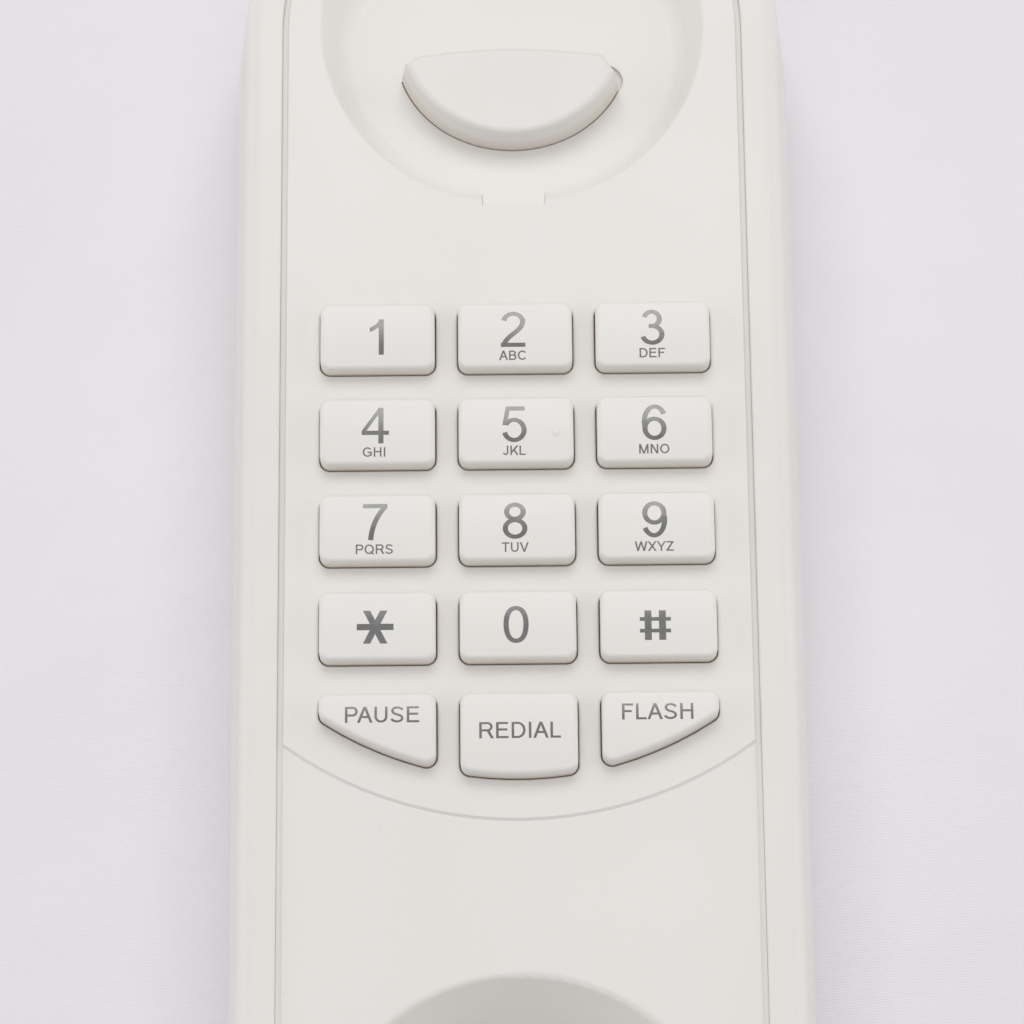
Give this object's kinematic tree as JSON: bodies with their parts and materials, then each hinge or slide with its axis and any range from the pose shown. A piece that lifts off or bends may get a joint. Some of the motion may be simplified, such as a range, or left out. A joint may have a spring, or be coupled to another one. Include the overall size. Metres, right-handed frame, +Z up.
{
  "type": "corded telephone base",
  "caption": "Slim corded telephone base with an earpiece dish and hook button, a dialling keypad with function keys, and a mouthpiece cup.",
  "frame": {"origin": "under the middle of the base, on the surface that the feet rest on", "axes": "+Y along the phone towards the earpiece end, +Z up out of the face, +X across the phone"},
  "size_m": [0.0774, 0.233, 0.0369],
  "materials": {
    "housing_plastic": "fine satin moulded ABS, warm off-white",
    "panel_plastic": "fine satin moulded ABS, warm off-white",
    "cover_plastic": "light spark-eroded texture, warm off-white",
    "key_plastic": "smooth satin ABS with grey printed legends",
    "button_plastic": "smooth satin ABS",
    "tab_plastic": "smooth satin ABS",
    "silicone": "translucent grey silicone rubber",
    "carbon": "matt carbon-filled rubber",
    "board": "phenolic paper board with green solder mask",
    "chip_resin": "moulded epoxy",
    "capacitor_sleeve": "shrink sleeve",
    "resistor_lacquer": "lacquered",
    "header_plastic": "natural nylon",
    "component_epoxy": "dipped epoxy",
    "screw_steel": "zinc plated",
    "spring_steel": "bright spring wire",
    "ballast_steel": "pressed mild steel plate",
    "switch_plastic": "moulded black nylon",
    "knob_plastic": "moulded black acetal",
    "jack_plastic": "moulded ivory polyamide",
    "contact_brass": "gold-flashed phosphor bronze or brass",
    "lead_insulation": "PVC insulated wires",
    "foot_rubber": "matt grey rubber",
    "label_paper": "blank coated label",
    "legend_ink": "screen-printed dark grey ink of the key legends"
  },
  "bodies": {
    "base": {"upper_housing": "housing_plastic", "face_panel": "panel_plastic", "bottom_cover": "cover_plastic", "keypad_membrane": "silicone", "carbon_pills": "carbon", "main_board": "board", "line_board": "board", "main_board_chips": "chip_resin", "main_board_capacitors": "capacitor_sleeve", "main_board_resistors": "resistor_lacquer", "board_headers": "header_plastic", "line_board_components": "component_epoxy", "main_board_screws": "screw_steel", "line_board_screws": "screw_steel", "case_screws": "screw_steel", "hook_spring": "spring_steel", "hook_switch": "switch_plastic", "hook_switch_leaf": "spring_steel", "line_jack": "jack_plastic", "handset_jack": "jack_plastic", "line_jack_contacts": "contact_brass", "handset_jack_contacts": "contact_brass", "handset_leads": "lead_insulation", "board_leads": "lead_insulation", "ringer_disc": "contact_brass", "ringer_clamp": "switch_plastic", "ringer_switch": "switch_plastic", "dial_mode_switch": "switch_plastic", "ballast_weight": "ballast_steel", "rubber_feet": "foot_rubber", "rating_label": "label_paper"},
    "hook_body": {"hook_button": "button_plastic"},
    "hanger_body": {"hanger_tab": "tab_plastic"},
    "ringer_knob_body": {"ringer_knob": "knob_plastic"},
    "dial_mode_knob_body": {"dial_mode_knob": "knob_plastic"},
    "key_1_body": {"key_1": "key_plastic"},
    "key_2_body": {"key_2": "key_plastic"},
    "key_3_body": {"key_3": "key_plastic"},
    "key_4_body": {"key_4": "key_plastic"},
    "key_5_body": {"key_5": "key_plastic"},
    "key_6_body": {"key_6": "key_plastic"},
    "key_7_body": {"key_7": "key_plastic"},
    "key_8_body": {"key_8": "key_plastic"},
    "key_9_body": {"key_9": "key_plastic"},
    "key_star_body": {"key_star": "key_plastic"},
    "key_0_body": {"key_0": "key_plastic"},
    "key_hash_body": {"key_hash": "key_plastic"},
    "key_pause_body": {"key_pause": "key_plastic"},
    "key_redial_body": {"key_redial": "key_plastic"},
    "key_flash_body": {"key_flash": "key_plastic"}
  },
  "joints": [
    {"name": "key_1_press", "type": "slide", "parent": "base", "child": "key_1_body", "axis": [0, 0, 1], "range_m": [-0.0013, 0], "stiffness_N_per_m": 500, "springref_m": 0.0006},
    {"name": "key_2_press", "type": "slide", "parent": "base", "child": "key_2_body", "axis": [0, 0, 1], "range_m": [-0.0013, 0], "stiffness_N_per_m": 500, "springref_m": 0.0006},
    {"name": "key_3_press", "type": "slide", "parent": "base", "child": "key_3_body", "axis": [0, 0, 1], "range_m": [-0.0013, 0], "stiffness_N_per_m": 500, "springref_m": 0.0006},
    {"name": "key_4_press", "type": "slide", "parent": "base", "child": "key_4_body", "axis": [0, 0, 1], "range_m": [-0.0013, 0], "stiffness_N_per_m": 500, "springref_m": 0.0006},
    {"name": "key_5_press", "type": "slide", "parent": "base", "child": "key_5_body", "axis": [0, 0, 1], "range_m": [-0.0013, 0], "stiffness_N_per_m": 500, "springref_m": 0.0006, "deforming": ["keypad_membrane", "carbon_pills"]},
    {"name": "key_6_press", "type": "slide", "parent": "base", "child": "key_6_body", "axis": [0, 0, 1], "range_m": [-0.0013, 0], "stiffness_N_per_m": 500, "springref_m": 0.0006},
    {"name": "key_7_press", "type": "slide", "parent": "base", "child": "key_7_body", "axis": [0, 0, 1], "range_m": [-0.0013, 0], "stiffness_N_per_m": 500, "springref_m": 0.0006},
    {"name": "key_8_press", "type": "slide", "parent": "base", "child": "key_8_body", "axis": [0, 0, 1], "range_m": [-0.0013, 0], "stiffness_N_per_m": 500, "springref_m": 0.0006},
    {"name": "key_9_press", "type": "slide", "parent": "base", "child": "key_9_body", "axis": [0, 0, 1], "range_m": [-0.0013, 0], "stiffness_N_per_m": 500, "springref_m": 0.0006},
    {"name": "key_star_press", "type": "slide", "parent": "base", "child": "key_star_body", "axis": [0, 0, 1], "range_m": [-0.0013, 0], "stiffness_N_per_m": 500, "springref_m": 0.0006},
    {"name": "key_0_press", "type": "slide", "parent": "base", "child": "key_0_body", "axis": [0, 0, 1], "range_m": [-0.0013, 0], "stiffness_N_per_m": 500, "springref_m": 0.0006},
    {"name": "key_hash_press", "type": "slide", "parent": "base", "child": "key_hash_body", "axis": [0, 0, 1], "range_m": [-0.0013, 0], "stiffness_N_per_m": 500, "springref_m": 0.0006},
    {"name": "key_pause_press", "type": "slide", "parent": "base", "child": "key_pause_body", "axis": [0, 0, 1], "range_m": [-0.0013, 0], "stiffness_N_per_m": 500, "springref_m": 0.0006},
    {"name": "key_redial_press", "type": "slide", "parent": "base", "child": "key_redial_body", "axis": [0, 0, 1], "range_m": [-0.0013, 0], "stiffness_N_per_m": 500, "springref_m": 0.0006},
    {"name": "key_flash_press", "type": "slide", "parent": "base", "child": "key_flash_body", "axis": [0, 0, 1], "range_m": [-0.0013, 0], "stiffness_N_per_m": 500, "springref_m": 0.0006},
    {"name": "hook_press", "type": "slide", "parent": "base", "child": "hook_body", "axis": [0, 0, 1], "range_m": [-0.004, 0], "stiffness_N_per_m": 100, "springref_m": 0.005, "deforming": ["hook_spring", "hook_switch_leaf"]},
    {"name": "hanger_slide", "type": "slide", "parent": "base", "child": "hanger_body", "axis": [0, 0, 1], "range_m": [0, 0.01]},
    {"name": "ringer_select", "type": "slide", "parent": "base", "child": "ringer_knob_body", "axis": [0, 1, 0], "range_m": [0, 0.004]},
    {"name": "dial_mode_select", "type": "slide", "parent": "base", "child": "dial_mode_knob_body", "axis": [0, 1, 0], "range_m": [0, 0.004]}
  ]
}
